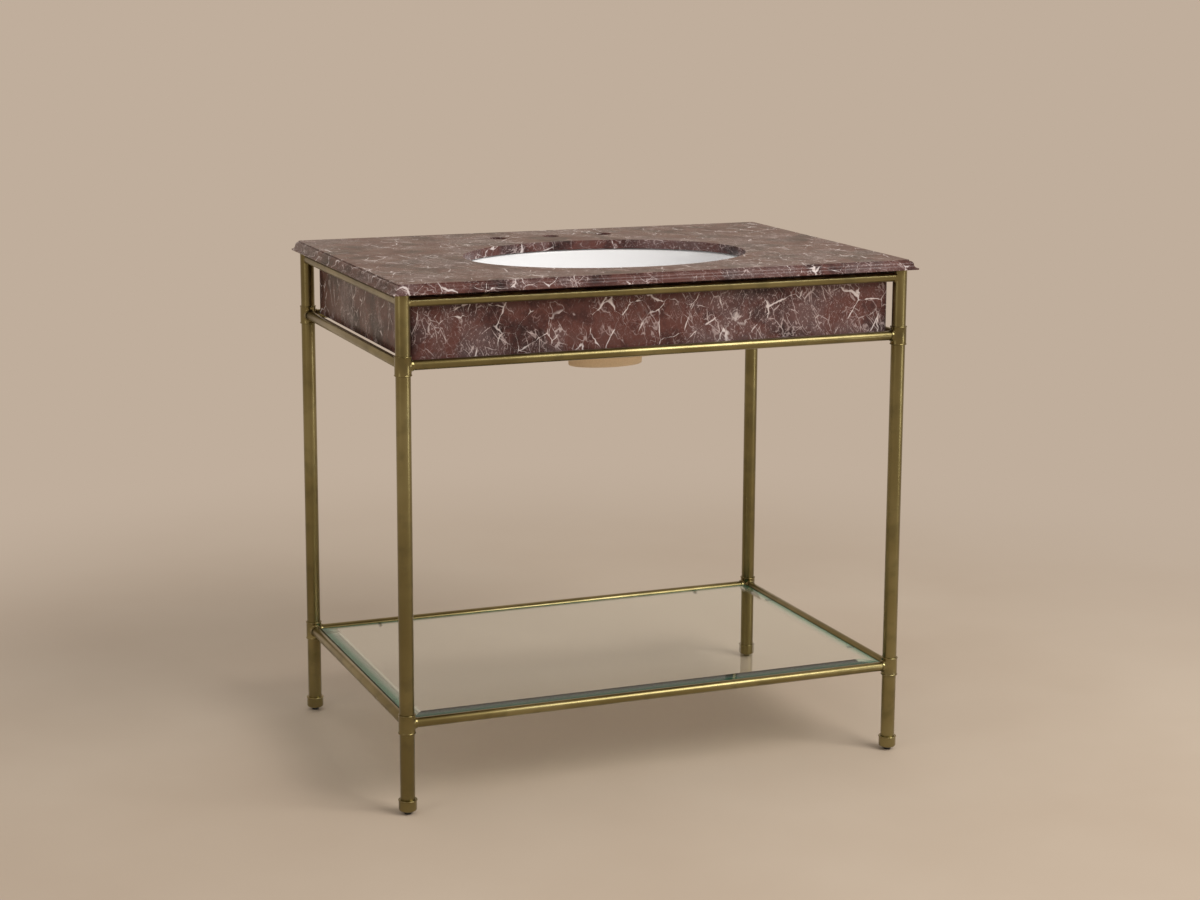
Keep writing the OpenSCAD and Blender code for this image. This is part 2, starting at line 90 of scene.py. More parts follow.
# %% [markdown]
# ## The camera
# The photograph was taken from the front left, a little above the top, and its uprights are
# almost parallel, as a shifted film plane makes them. A full shift would push the washstand out
# of the frame in every other view. So the camera tilts down, with only a small shift, and its
# place and lens were fitted until the corners of the frame fell where the photograph has them.

# %% Place the camera
YAW = math.radians(21.8775)
PITCH = math.radians(-10.4621)
ROLL = math.radians(0.2458)
CAMERA_AT = (-1.4789, -3.7018, 1.3501)
LENS, SENSOR_WIDTH, SHIFT_UP = 70.05, 36, -0.05
forward = Vector((math.sin(YAW) * math.cos(PITCH), math.cos(YAW) * math.cos(PITCH), math.sin(PITCH)))
level_right = Vector((math.cos(YAW), -math.sin(YAW), 0))
level_up = level_right.cross(forward)
right = math.cos(ROLL) * level_right + math.sin(ROLL) * level_up
up = math.cos(ROLL) * level_up - math.sin(ROLL) * level_right

camera_data = bpy.data.cameras.new("camera")
camera_data.sensor_width = SENSOR_WIDTH
camera_data.lens = LENS
camera_data.shift_y = SHIFT_UP
camera = bpy.data.objects.new("camera", camera_data)
scene.collection.objects.link(camera)
turn = Matrix((right, up, -forward)).transposed().to_4x4()
camera.matrix_world = Matrix.Translation(CAMERA_AT) @ turn
scene.camera = camera
print("camera looks along", [round(v, 3) for v in forward])

# %% [markdown]
# ## Node helpers
# Every finish here is a node tree. These helpers keep the cells that build them short: one adds
# a node with its values, one makes a noise of a real size, one turns a value into a colour and
# one into a mask, and the others mix, reckon and raise.

# %% Helpers for node trees


def new_material(name):
    """A material, its node tree and the shader in it."""
    material = bpy.data.materials.new(name)
    material.use_nodes = True
    tree = material.node_tree
    return material, tree, tree.nodes["Principled BSDF"]


def feed(tree, socket, value):
    """Gives a socket a value or another node's output."""
    if isinstance(value, bpy.types.NodeSocket):
        tree.links.new(value, socket)
    else:
        socket.default_value = value


def add(tree, kind, settings=None, **inputs):
    """Adds a node. An input is named by its label, or by its number after an underscore."""
    node = tree.nodes.new("ShaderNode" + kind)
    for key, value in (settings or {}).items():
        setattr(node, key, value)
    for key, value in inputs.items():
        socket = node.inputs[int(key[1:]) if key[1:].isdigit() else key.replace("_", " ")]
        feed(tree, socket, value)
    return node


def noise(tree, vector, size, detail=4, roughness=0.5):
    """Noise whose blobs are about size metres across."""
    return add(tree, "TexNoise", Vector=vector, Scale=0.5 / size, Detail=detail, Roughness=roughness)


def ramp(tree, value, *stops):
    """Colour ramp with stops of (place, colour)."""
    node = add(tree, "ValToRGB", Fac=value)
    elements = node.color_ramp.elements
    while len(elements) < len(stops):
        elements.new(0.5)
    for element, (place, colour) in zip(elements, stops):
        element.position = place
        element.color = (*colour, 1)
    return node.outputs["Color"]


def mask(tree, value, low, high, out_low=0.0, out_high=1.0):
    """Turns value from low to high into out_low to out_high, smoothly."""
    node = add(tree, "MapRange", {"interpolation_type": "SMOOTHSTEP"}, Value=value,
               From_Min=low, From_Max=high, To_Min=out_low, To_Max=out_high)
    return node.outputs["Result"]


def mix(tree, factor, under, over):
    """Lays a colour over another by a factor. Either may be a node's output."""
    node = add(tree, "Mix", {"data_type": "RGBA"}, Factor=factor)
    for number, colour in ((6, under), (7, over)):
        feed(tree, node.inputs[number], (*colour, 1) if isinstance(colour, tuple) else colour)
    return node.outputs[2]


def calc(tree, operation, a, b=0.0):
    """Arithmetic on two values."""
    return add(tree, "Math", {"operation": operation}, _0=a, _1=b).outputs[0]


def both(tree, first, second):
    """Where both masks are on, or a mask made weaker by a number."""
    return calc(tree, "MULTIPLY", first, second)


def vector_calc(tree, operation, *values):
    """Arithmetic on vectors."""
    inputs = {"_%d" % number: value for number, value in enumerate(values)}
    return add(tree, "VectorMath", {"operation": operation}, **inputs).outputs[0]


def srgb(r, g, b):
    """A colour given as 0 to 255 display values, as linear light."""
    return tuple(((c / 255 + 0.055) / 1.055) ** 2.4 if c > 10 else c / 255 / 12.92 for c in (r, g, b))


def bump(tree, shader, height, strength, distance):
    """Shades the surface as if a height map raised it by distance."""
    node = add(tree, "Bump", Height=height, Strength=strength, Distance=distance)
    tree.links.new(node.outputs["Normal"], shader.inputs["Normal"])


print("node helpers ready")

# %% [markdown]
# ## The marble
# The stone is a dark burgundy ground, mottled in brown and mauve, with clouds of fine grey-pink
# fragments, hair-thin threads and a few strong white fractures. One texture can't give all of
# that, so each is made on its own and laid over the last. The threads are the places where a
# noise crosses its middle value. The fractures are the borders of stretched Voronoi cells, which
# are straight and angular, and masks break them into strokes of uneven width. One drift bends
# them all, because each further noise is paid for in every sample of every render.

# %% Helpers for the marks in the stone


def drifting(tree, place, size):
    """Three random values, each from -0.5 to 0.5, that change over a distance of size."""
    colour = noise(tree, place, size, detail=2, roughness=0.55).outputs["Color"]
    return vector_calc(tree, "SUBTRACT", colour, (0.5, 0.5, 0.5))


def pushed(tree, place, drift, amount, seed):
    """The place pushed about by a drift, and moved to another part of the pattern by a seed."""
    spot = vector_calc(tree, "MULTIPLY_ADD", drift, (amount,) * 3, place)
    return vector_calc(tree, "ADD", spot, (seed, -0.6 * seed, 1.7 * seed))


def stretched(tree, place, tilt, along):
    """The place drawn out along one axis turned by tilt, so that a pattern runs that way."""
    return add(tree, "Mapping", {"vector_type": "TEXTURE"}, Vector=place, Rotation=tilt,
               Scale=(along, 1.0, 1.0)).outputs[0]


def stroke(tree, off, width):
    """1 in the middle of a line and 0 from its width on, where off is how far from the middle."""
    return mask(tree, calc(tree, "DIVIDE", off, width), 0.3, 1.0, 1.0, 0.0)


def threads(tree, spot, size, width, detail=2):
    """Thin lines where a noise crosses its middle value. width may vary from place to place."""
    field = noise(tree, spot, size, detail=detail, roughness=0.55).outputs["Fac"]
    return stroke(tree, calc(tree, "ABSOLUTE", calc(tree, "SUBTRACT", field, 0.5)), width)


def fractures(tree, spot, cell, width):
    """Angular strokes along the borders of cells. width may vary from place to place."""
    border = add(tree, "TexVoronoi", {"feature": "DISTANCE_TO_EDGE"}, Vector=spot, Scale=1 / cell)
    return stroke(tree, border.outputs["Distance"], width)


# %% Choose the colours of the marble
GROUND_TONES = ((0.34, srgb(46, 30, 29)), (0.45, srgb(74, 46, 43)),
                (0.54, srgb(97, 60, 54)), (0.66, srgb(93, 67, 63)))
CLOUD_TONE, CLOUD_SHARE = srgb(106, 87, 86), 0.6
# How much each kind of mark covers the ones before it, and its colour.
MARKS = {"hair": (0.42, srgb(168, 142, 139)), "flecks": (0.42, srgb(172, 153, 151)),
         "chips": (0.60, srgb(182, 163, 161)), "vein": (0.50, srgb(192, 173, 170)),
         "branch": (0.68, srgb(200, 183, 180)), "bold": (0.90, srgb(222, 209, 206))}
RUN_TILT, RUN_ALONG = (0, -1.95, 0.3), 2.2
CROSS_TILT, CROSS_ALONG = (0.2, -0.95, 0), 1.8
print("kinds of mark in the marble", list(MARKS))

# %% Make the marble


def make_marble(name, turn):
    """Polished stone. turn tips the pattern, so that no two slabs run the same way."""
    material, tree, shader = new_material(name)
    position = add(tree, "TexCoord").outputs["Object"]
    place = add(tree, "Mapping", Vector=position, Rotation=turn).outputs[0]
    drift = drifting(tree, place, 14 * MM)

    # The ground, and the paler clouds in it.
    mottled = pushed(tree, place, drift, 20 * MM, 0.4)
    ground = noise(tree, mottled, 34 * MM, detail=5, roughness=0.62).outputs["Fac"]
    clouded = pushed(tree, place, drift, 30 * MM, 2.3)
    cloud = noise(tree, clouded, 60 * MM, detail=4, roughness=0.6).outputs["Fac"]
    colour = ramp(tree, ground, *GROUND_TONES)
    colour = mix(tree, mask(tree, cloud, 0.46, 0.64, 0.0, CLOUD_SHARE), colour, CLOUD_TONE)

    # Two ways for the marks to run, and what breaks them up and swells them.
    run = stretched(tree, place, RUN_TILT, RUN_ALONG)
    cross = stretched(tree, place, CROSS_TILT, CROSS_ALONG)
    swell = noise(tree, run, 10 * MM, detail=3, roughness=0.6).outputs["Fac"]
    patch = noise(tree, place, 40 * MM, detail=2).outputs["Fac"]
    speck = noise(tree, cross, 1.6 * MM, detail=3, roughness=0.7).outputs["Fac"]
    thin = mask(tree, swell, 0.42, 0.64, 0.001, 0.014)
    wide = mask(tree, swell, 0.42, 0.66, 0.002, 0.040)

    # The marks themselves, from the finest to the boldest.
    made = {"hair": threads(tree, pushed(tree, cross, drift, 6 * MM, 4.1), 10 * MM, thin)}
    made["flecks"] = both(tree, mask(tree, speck, 0.58, 0.68), mask(tree, cloud, 0.44, 0.58))
    chips = fractures(tree, pushed(tree, run, drift, 4 * MM, 6.3), 6.5 * MM, 0.10)
    chips = both(tree, chips, mask(tree, speck, 0.52, 0.60))
    made["chips"] = both(tree, chips, mask(tree, cloud, 0.42, 0.56, 0.15, 1.0))
    made["vein"] = threads(tree, pushed(tree, run, drift, 8 * MM, 5.2), 22 * MM, thin, detail=3)
    branch = fractures(tree, pushed(tree, run, drift, 7 * MM, 2.7), 18 * MM, wide)
    made["branch"] = both(tree, branch, mask(tree, cloud, 0.43, 0.52))
    bold = fractures(tree, pushed(tree, cross, drift, 13 * MM, 1.3), 36 * MM, wide)
    made["bold"] = both(tree, bold, mask(tree, patch, 0.46, 0.52))
    for kind, (share, tone) in MARKS.items():
        colour = mix(tree, both(tree, made[kind], share), colour, tone)
    tree.links.new(colour, shader.inputs["Base Color"])

    polish = noise(tree, place, 20 * MM, detail=2).outputs["Fac"]
    tree.links.new(mask(tree, polish, 0.3, 0.7, 0.26, 0.33), shader.inputs["Roughness"])
    shader.inputs["Specular IOR Level"].default_value = 0.2
    bump(tree, shader, polish, 0.25, 0.05 * MM)
    return material


top_marble = make_marble("marble_top_polish", (1.35, 0.15, 0.5))
apron_marble = make_marble("marble_apron_polish", (0.0, 0.1, 0.15))
print("marble materials", top_marble.name, apron_marble.name)

# %% [markdown]
# ## The brass
# The tube is satin brass that has been toned to an olive gold and lacquered. The tone drifts
# slowly along a tube, the satin finish leaves a faint grain, and the lacquer softens highlights.
# Metal is nearly all reflection, so small changes of roughness do more than changes of colour:
# the turned collars and cups are smoother than the drawn tube, and show sharper lights.

# %% Make the brass


def make_brass(name, smooth, rough):
    """Toned and lacquered brass, whose roughness varies from smooth to rough."""
    material, tree, shader = new_material(name)
    place = add(tree, "TexCoord").outputs["Object"]
    drift = noise(tree, place, 80 * MM, detail=3).outputs["Fac"]
    stain = noise(tree, place, 16 * MM, detail=3).outputs["Fac"]
    colour = ramp(tree, drift, (0.34, srgb(118, 107, 66)), (0.5, srgb(132, 121, 78)),
                  (0.66, srgb(146, 136, 93)))
    colour = mix(tree, mask(tree, stain, 0.50, 0.70, 0.0, 0.35), colour, srgb(94, 88, 58))
    tree.links.new(colour, shader.inputs["Base Color"])
    shader.inputs["Metallic"].default_value = 1.0
    tree.links.new(mask(tree, stain, 0.35, 0.68, smooth, rough), shader.inputs["Roughness"])
    shader.inputs["Coat Weight"].default_value = 0.35
    shader.inputs["Coat Roughness"].default_value = 0.20
    grain = noise(tree, place, 1.2 * MM, detail=2).outputs["Fac"]
    bump(tree, shader, grain, 0.04, 0.02 * MM)
    return material


brass = make_brass("satin_brass", 0.29, 0.34)
turned_brass = make_brass("turned_brass", 0.19, 0.24)
print("brass", brass.name, turned_brass.name)

# %% [markdown]
# ## The other finishes
# The basin is white glazed china, glossy with a slow ripple. Its outside is left bare, a buff
# colour with a sandy grain. The shelf is float glass, clear through its face and green through
# its edge, because light crosses much more glass there. A volume that absorbs a little red gives
# part of that. The rest is painted light: the ground edges get a deep green painted into their
# colour, standing in for the light that travels inside the sheet, and that painted green fades
# across the bevel towards the clear face. The pads are moulded black plastic, the studs,
# brackets and clips are zinc-plated steel, and the bumpers, the sealant and the sleeves of the
# pegs are clear silicone.

# %% Make the ceramic


def make_ceramic():
    """White glaze, and the bare buff body where the attribute "unglazed" is 1."""
    material, tree, shader = new_material("white_glaze")
    place = add(tree, "TexCoord").outputs["Object"]
    bare = add(tree, "Attribute", {"attribute_name": "unglazed"}).outputs["Fac"]
    tone = noise(tree, place, 120 * MM, detail=3).outputs["Fac"]
    white = ramp(tree, tone, (0.3, srgb(241, 241, 242)), (0.7, srgb(247, 247, 248)))
    sand = noise(tree, place, 1.2 * MM, detail=3, roughness=0.7).outputs["Fac"]
    buff = ramp(tree, sand, (0.3, srgb(222, 198, 162)), (0.7, srgb(238, 217, 184)))
    tree.links.new(mix(tree, bare, white, buff), shader.inputs["Base Color"])
    glossy, dull = mask(tree, tone, 0.3, 0.7, 0.05, 0.10), both(tree, bare, 0.62)
    tree.links.new(calc(tree, "MAXIMUM", glossy, dull), shader.inputs["Roughness"])
    ripple = noise(tree, place, 30 * MM, detail=2).outputs["Fac"]
    bump(tree, shader, ripple, 0.2, 0.2 * MM)
    return material


glaze = make_ceramic()

# %% Make the glass


def make_glass():
    """Clear glass with a deep green painted in where the attribute "rim" is 1, standing in for light that
    has crossed the sheet lengthways.
    """
    material, tree, shader = new_material("shelf_glass")
    place = add(tree, "TexCoord").outputs["Object"]
    rim = add(tree, "Attribute", {"attribute_name": "rim"}).outputs["Fac"]
    # This ramp's green is painted light: the colour of light that has crossed the sheet lengthways, laid on
    # the edges and bevels.
    painted_edge_green = ramp(tree, rim, (0.0, (1, 1, 1)), (0.36, srgb(206, 233, 221)),
                (0.66, srgb(70, 146, 118)), (1.0, srgb(18, 84, 62)))
    tree.links.new(painted_edge_green, shader.inputs["Base Color"])
    tree.links.new(mask(tree, rim, 0.0, 1.0, 1.0, 0.70), shader.inputs["Transmission Weight"])
    shader.inputs["IOR"].default_value = 1.52
    smear = noise(tree, place, 50 * MM).outputs["Fac"]
    tree.links.new(mask(tree, smear, 0.45, 0.75, 0.0, 0.03), shader.inputs["Roughness"])
    wave = noise(tree, place, 150 * MM, detail=1).outputs["Fac"]
    bump(tree, shader, wave, 0.1, 0.1 * MM)
    absorb = add(tree, "VolumeAbsorption", Color=(0.42, 0.92, 0.70, 1), Density=6.0)
    tree.links.new(absorb.outputs[0], tree.nodes["Material Output"].inputs["Volume"])
    return material


shelf_glass = make_glass()

# %% Make the plastic, steel and silicone


def make_plain(name, low, high, rough, metallic=0.0):
    """A moulded or plated finish that varies between two colours, with a fine grain."""
    material, tree, shader = new_material(name)
    place = add(tree, "TexCoord").outputs["Object"]
    tone = noise(tree, place, 6 * MM).outputs["Fac"]
    tree.links.new(ramp(tree, tone, (0.3, low), (0.7, high)), shader.inputs["Base Color"])
    shader.inputs["Metallic"].default_value = metallic
    tree.links.new(mask(tree, tone, 0.3, 0.7, rough - 0.06, rough + 0.06), shader.inputs["Roughness"])
    grain = noise(tree, place, 0.6 * MM, detail=2).outputs["Fac"]
    bump(tree, shader, grain, 0.3, 0.04 * MM)
    return material


black_plastic = make_plain("black_plastic", srgb(18, 18, 19), srgb(34, 33, 33), 0.55)
zinc_steel = make_plain("zinc_steel", srgb(150, 152, 155), srgb(184, 186, 188), 0.36, metallic=1.0)
silicone = make_plain("clear_silicone", srgb(196, 200, 200), srgb(216, 219, 219), 0.4)
silicone.node_tree.nodes["Principled BSDF"].inputs["Transmission Weight"].default_value = 0.6
print("finishes", [m.name for m in (glaze, shelf_glass, black_plastic, zinc_steel, silicone)])

# %% [markdown]
# ## Dress the nodes that stay
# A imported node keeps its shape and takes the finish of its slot. The pieces made further down
# replace the nodes whose edges or mouldings deserve more.

# %% Give each node its finish
FINISH = {"marble": apron_marble, "brass": brass, "ceramic": glaze, "glass": shelf_glass,
          "black_plastic": black_plastic, "steel": zinc_steel, "clear_rubber": silicone}
slot_of = {part["node"]: part["material_slot"] for part in frame["record"]["subparts"]}
for name, node_object in frame["nodes"].items():
    node_object.data.materials.clear()
    node_object.data.materials.append(FINISH[slot_of[name]])
print("dressed", len(slot_of), "nodes")

# %% [markdown]
# ## Helpers for shapes
# Every turned piece starts as half its section, drawn as points of radius and height, and spun
# about an axis. Rounded lips come from short arcs in that section. A finished mesh is merged,
# its normals are turned outwards, and edges sharper than a limit stay crisp.

# %% Helpers that draw sections


def arc(mid, radius, start, end, steps=6):
    """Points round a middle, from one angle to another, in degrees."""
    angles = [math.radians(start + (end - start) * i / steps) for i in range(steps + 1)]
    return [(mid[0] + radius * math.cos(a), mid[1] + radius * math.sin(a)) for a in angles]


def rounded_side(radius, low, high, lip, steps=3):
    """Points up an upright side whose two ends are rounded by lip."""
    return (arc((radius - lip, low + lip), lip, -90, 0, steps)
            + arc((radius - lip, high - lip), lip, 0, 90, steps))


def tube_section(outer, inner, low, high, lip, steps=3):
    """Closed section of a tube whose two outer edges are rounded by lip."""
    return rounded_side(outer, low, high, lip, steps) + [(inner, high), (inner, low)]


# %% Helpers that spin and finish a piece


def spin_section(bm, points, place=Matrix(), steps=64, closed=True, shape=None):
    """Spins (radius, height) points about Z, bends them by shape, and puts the result in place."""
    start = len(bm.verts)
    verts = [bm.verts.new((max(r, 0.0), 0, z)) for r, z in points]
    pairs = list(zip(verts, verts[1:])) + ([(verts[-1], verts[0])] if closed else [])
    edges = [bm.edges.new(pair) for pair in pairs]
    bmesh.ops.spin(bm, geom=verts + edges, cent=(0, 0, 0), axis=(0, 0, 1), angle=2 * math.pi,
                   steps=steps, use_merge=True)
    bm.verts.ensure_lookup_table()
    made = bm.verts[start:]
    if shape:
        for vert in made:
            vert.co = shape(vert.co)
    bmesh.ops.transform(bm, matrix=place, verts=made)
    return made


def finish_piece(name, bm, material, nodes=(), body=BODY, sharp=38):
    """Turns a bmesh into a piece that rides on a body and stands for its nodes."""
    bmesh.ops.remove_doubles(bm, verts=bm.verts, dist=2e-6)
    bmesh.ops.recalc_face_normals(bm, faces=bm.faces)
    for face in bm.faces:
        face.smooth = True
    for edge in bm.edges:
        edge.smooth = edge.smooth and edge.calc_face_angle(0.0) < math.radians(sharp)
    mesh = bpy.data.meshes.new(name)
    bm.to_mesh(mesh)
    bm.free()
    mesh.materials.append(material)
    piece = bpy.data.objects.new(name, mesh)
    scene.collection.objects.link(piece)
    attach(piece, body)
    if nodes:
        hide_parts(*nodes)
    print(name, "faces", len(mesh.polygons))
    return piece


def crisp_round_flats(bm, smallest):
    """Keeps the edges round every large flat face crisp, so that its shading stays flat."""
    for face in bm.faces:
        if face.calc_area() > smallest:
            for edge in face.edges:
                edge.smooth = False


# %% Helpers that place and bend a piece


def facing(axis, at):
    """A placement that turns +Z to an axis and moves the origin to a point."""
    turned = Vector((0, 0, 1)).rotation_difference(Vector(axis)).to_matrix().to_4x4()
    return Matrix.Translation(at) @ turned


def on_leg_axis(corner, z=0.0):
    """The point at a height on the axis of a leg."""
    return Vector((leg_at[corner].x, leg_at[corner].y, z))


def falls_away(radius, aside):
    """How far a round of a radius falls away at a distance to one side of its middle."""
    return radius - math.sqrt(max(radius ** 2 - aside ** 2, 0.0))


def aside_of(co, upright):
    """How far a point of a tube along Z lies to the side of the plane through Z and upright."""
    across = co - upright * co.dot(upright)
    across.z = 0
    return across.length


def share_of(value, low, high):
    """How far a value has come from low to high, from 0 to 1."""
    return min(max((value - low) / (high - low), 0.0), 1.0)


# %% [markdown]
# ## Legs
# Each leg is a brass tube with a thin wall. The upper end is hidden by the marble and the lower
# end by the foot cup, so a spun section with eased lips is all it needs.

# %% Make the legs
LIP, LEG_WALL = 0.4 * MM, 1.5 * MM
leg_low, leg_high = (point.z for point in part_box("leg_front_left"))
for corner in CORNERS:
    bm = bmesh.new()
    spin_section(bm, tube_section(leg_r, leg_r - LEG_WALL, leg_low, leg_high, LIP),
                 Matrix.Translation(on_leg_axis(corner)), steps=96)
    finish_piece("leg_tube_" + corner, bm, brass, ["leg_" + corner])

# %% [markdown]
# ## Collars
# The rails end in sleeves that slide over the legs. A sleeve has a rounded bead at both ends and
# two short sockets, and a small fillet runs round the foot of each socket, as on a casting. The
# sockets are spun as if the sleeve were flat, and then pulled back until their feet follow the
# round of the sleeve.

# %% Draw the sleeve
collar_half = extent("shelf_collar_front_left").z / 2
collar_low, collar_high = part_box("shelf_collar_front_left")
bead_reach = leg_at["front_left"].x - collar_low.x
socket_reach = collar_high.x - leg_at["front_left"].x
BEAD_R, BEAD_OUT = 1.2 * MM, 0.8 * MM
CLEARANCE = 0.05 * MM
collar_r = bead_reach - BEAD_OUT
bore_r = leg_r + CLEARANCE


def bead_section(radius, top):
    """Points up the end of a sleeve: a soft foot, and a round bead that stands out from it."""
    bead = arc((radius + BEAD_OUT - BEAD_R, top - BEAD_R), BEAD_R, -62, 90, 9)
    start = bead[0][1]
    return [(radius, start - 0.5 * MM), (radius + 0.12 * MM, start - 0.15 * MM)] + bead


def mirrored(points):
    """The same points below the middle, in the order that leads up to it."""
    return [(r, -z) for r, z in reversed(points)]


def collar_section():
    """Closed section of a sleeve with a bead at both ends."""
    upper = bead_section(collar_r, collar_half)
    return mirrored(upper) + upper + [(bore_r, collar_half), (bore_r, -collar_half)]


print("sleeve radius", round(collar_r, 5), "socket reaches", round(socket_reach, 5))

# %% Draw a socket
SOCKET_WALL, FILLET, SUNK = 1.2 * MM, 1.6 * MM, 0.9 * MM
socket_bore = rail_r + CLEARANCE
socket_r = socket_bore + SOCKET_WALL


def wrap_on_sleeve(axis):
    """Pulls the foot of a socket back onto the round of the sleeve, and leaves its mouth flat."""
    upright = facing(axis, (0, 0, 0)).inverted() @ Vector((0, 0, 1))

    def shape(co):
        drop = falls_away(collar_r, aside_of(co, upright)) * share_of(co.z, socket_reach, collar_r)
        return Vector((co.x, co.y, co.z - drop))
    return shape


def socket_section():
    """Closed section of a socket: sunk in the sleeve, a fillet at its foot and a round lip."""
    lip = SOCKET_WALL / 2
    return ([(socket_r + FILLET, collar_r - SUNK)]
            + arc((socket_r + FILLET, collar_r + FILLET), FILLET, 270, 180, 5)
            + arc((socket_r - lip, socket_reach - lip), lip, 0, 180, 7)
            + [(socket_bore, collar_r - SUNK)])


# %% Make the collars
for level in ("apron", "shelf"):
    for corner, (sx, sy) in CORNERS.items():
        node = level + "_collar_" + corner
        at = on_leg_axis(corner, middle(level + "_rail_front").z)
        bm = bmesh.new()
        spin_section(bm, collar_section(), Matrix.Translation(at), steps=72)
        for axis in ((-sx, 0, 0), (0, -sy, 0)):
            spin_section(bm, socket_section(), facing(axis, at), steps=56, shape=wrap_on_sleeve(axis))
        finish_piece("collar_" + level + "_" + corner, bm, turned_brass, [node])

# %% [markdown]
# ## Rails
# Twelve tubes join the legs. The apron and shelf rails end inside the sockets. The upper rails
# meet the legs with no sleeve, in a brazed joint, whose small fillet catches the light.

# %% Make the rails in the sockets
RAIL_WALL = 1.2 * MM
ENDS = {"front": ("front_left", "front_right"), "back": ("back_left", "back_right"),
        "left": ("front_left", "back_left"), "right": ("front_right", "back_right")}
for level in ("apron", "shelf"):
    for side in ENDS:
        node = level + "_rail_" + side
        along = (1, 0, 0) if side in ("front", "back") else (0, 1, 0)
        half = extent(node).dot(Vector(along)) / 2
        bm = bmesh.new()
        spin_section(bm, tube_section(rail_r, rail_r - RAIL_WALL, -half, half, LIP),
                     facing(along, middle(node)), steps=72)
        finish_piece("tube_" + node, bm, brass, [node])

# %% Make the brazed upper rails
BRAZE = 2.2 * MM
braze_z = middle("upper_rail_front").z


def cope_to_legs(place, reach):
    """Bends both flat ends of a rail round the legs, with no effect in its middle."""
    upright = place.to_3x3().inverted() @ Vector((0, 0, 1))

    def shape(co):
        aside = min(aside_of(co, upright), leg_r * 0.98)
        drop = falls_away(leg_r, aside) * share_of(abs(co.z), reach - 2 * BRAZE, reach)
        return Vector((co.x, co.y, co.z + math.copysign(drop, co.z)))
    return shape


for side, ends in ENDS.items():
    node = "upper_rail_" + side
    first, second = (on_leg_axis(corner, braze_z) for corner in ends)
    reach = (second - first).length / 2 - leg_r
    place = facing((second - first).normalized(), (first + second) / 2)
    flare = arc((rail_r + BRAZE, reach - BRAZE), BRAZE, 180, 90, 6)
    inside = [(rail_r - RAIL_WALL, reach), (rail_r - RAIL_WALL, -reach)]
    bm = bmesh.new()
    spin_section(bm, mirrored(flare) + flare + inside, place, steps=72, shape=cope_to_legs(place, reach))
    finish_piece("tube_" + node, bm, brass, [node])

# %% [markdown]
# ## Feet
# A rounded cup closes each leg. Under it a black plastic pad stands on a threaded stud, which
# screws out so that the washstand can be levelled. The thread is a real helix, because it shows
# when the stud is out. A spin with a step along its axis makes it.

# %% Make the foot cups
CUP_ROUND, CUP_FLOOR, STUD_GAP = 4.0 * MM, 4.0 * MM, 0.3 * MM
cup_low, cup_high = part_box("foot_cup_front_left")
cup_r = leg_at["front_left"].x - cup_low.x - BEAD_OUT
stud_hole = extent("level_stud_front_left").x / 2 + STUD_GAP
cup = [(stud_hole, cup_low.z)]
cup += arc((cup_r - CUP_ROUND, cup_low.z + CUP_ROUND), CUP_ROUND, -90, 0, 9)
cup += bead_section(cup_r, cup_high.z)
cup += [(bore_r, cup_high.z), (bore_r, cup_low.z + CUP_FLOOR), (stud_hole, cup_low.z + CUP_FLOOR)]
for corner in CORNERS:
    bm = bmesh.new()
    spin_section(bm, cup, Matrix.Translation(on_leg_axis(corner)), steps=72)
    finish_piece("cup_" + corner, bm, turned_brass, ["foot_cup_" + corner])

# %% Make the pads
SOLE_ROUND, TOP_ROUND, GROOVE = 1.0 * MM, 0.8 * MM, 0.35 * MM
STUD_SOCKET_R = 3.05 * MM
pad_r = extent("level_pad_front_left").x / 2
pad_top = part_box("level_pad_front_left")[1].z
pad = [(0, 0.3 * MM), (pad_r - 3.2 * MM, 0.3 * MM), (pad_r - 2.6 * MM, 0.0)]
pad += arc((pad_r - SOLE_ROUND, SOLE_ROUND), SOLE_ROUND, -90, 0, 5)
pad += [(pad_r, 0.30 * pad_top), (pad_r - GROOVE, 0.36 * pad_top),
        (pad_r - GROOVE, 0.44 * pad_top), (pad_r, 0.50 * pad_top)]
pad += arc((pad_r - TOP_ROUND, pad_top - TOP_ROUND), TOP_ROUND, 0, 90, 4)
pad += [(STUD_SOCKET_R, pad_top), (STUD_SOCKET_R, pad_top / 2), (0, pad_top / 2)]
for corner in CORNERS:
    bm = bmesh.new()
    spin_section(bm, pad, Matrix.Translation(on_leg_axis(corner)), steps=56, closed=False)
    finish_piece("pad_" + corner, bm, black_plastic, ["level_pad_" + corner],
                 "foot_pad_" + corner)

# %% Make the threaded studs
THREAD_PITCH, THREAD_DEEP = 1.0 * MM, 0.55 * MM
TURN_STEPS = 20
stud_low, stud_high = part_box("level_stud_front_left")
stud_r = (stud_high.x - stud_low.x) / 2
root_r = stud_r - THREAD_DEEP
turns = int((stud_high.z - stud_low.z - 2.0 * MM) / THREAD_PITCH)
# One ridge of the thread, as radius and share of the pitch, and the core that it winds round.
ridge = [(root_r, 0.0), (root_r, 0.12), (stud_r, 0.42), (stud_r, 0.58), (root_r, 0.88), (root_r, 1.0)]
core = [(0, stud_low.z), (root_r - 0.1 * MM, stud_low.z), (root_r + 0.05 * MM, stud_low.z + 0.3 * MM),
        (root_r + 0.05 * MM, stud_high.z - 0.8 * MM), (root_r - 0.5 * MM, stud_high.z), (0, stud_high.z)]
for corner in CORNERS:
    bm = bmesh.new()
    verts = [bm.verts.new((r, 0, stud_low.z + 0.5 * MM + share * THREAD_PITCH)) for r, share in ridge]
    edges = [bm.edges.new(pair) for pair in zip(verts, verts[1:])]
    bmesh.ops.spin(bm, geom=verts + edges, cent=(0, 0, 0), axis=(0, 0, 1), angle=2 * math.pi * turns,
                   dvec=(0, 0, THREAD_PITCH / TURN_STEPS), steps=TURN_STEPS * turns, use_merge=False)
    spin_section(bm, core, steps=40, closed=False)
    bmesh.ops.translate(bm, verts=bm.verts, vec=on_leg_axis(corner))
    finish_piece("stud_" + corner, bm, zinc_steel, ["level_stud_" + corner],
                 "foot_screw_" + corner)

